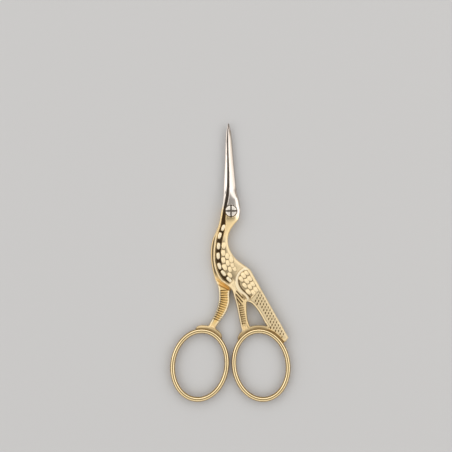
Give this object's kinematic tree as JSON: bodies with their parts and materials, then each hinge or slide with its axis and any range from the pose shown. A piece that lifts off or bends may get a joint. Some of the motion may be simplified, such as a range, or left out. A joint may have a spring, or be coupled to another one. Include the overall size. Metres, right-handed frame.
{
  "type": "embroidery scissors",
  "caption": "Stork-shaped embroidery scissors: gold-plated halves crossing on a slotted pivot screw, slim pointed blades as the beak, feathered neck and tail, ribbed legs, oval finger bows.",
  "frame": {"origin": "on the pivot axis, in the plane that the back of the scissors rests on", "axes": "+Y from the pivot to the tip of the beak, +Z out of the decorated front face, +X to the right of someone looking at that face with the beak up"},
  "size_m": [0.039, 0.09, 0.0039],
  "materials": {
    "plated_steel": "steel forging, polished and gold-plated; blades left bright steel",
    "bright_steel": "polished steel"
  },
  "bodies": {
    "rear": {"rear_half": "plated_steel", "pivot_screw": "bright_steel"},
    "front": {"front_half": "plated_steel"}
  },
  "joints": [
    {"name": "pivot", "type": "hinge", "parent": "rear", "child": "front", "pos_m": [0, 0, 0], "axis": [0, 0, 1], "range_deg": [0, 100]}
  ]
}
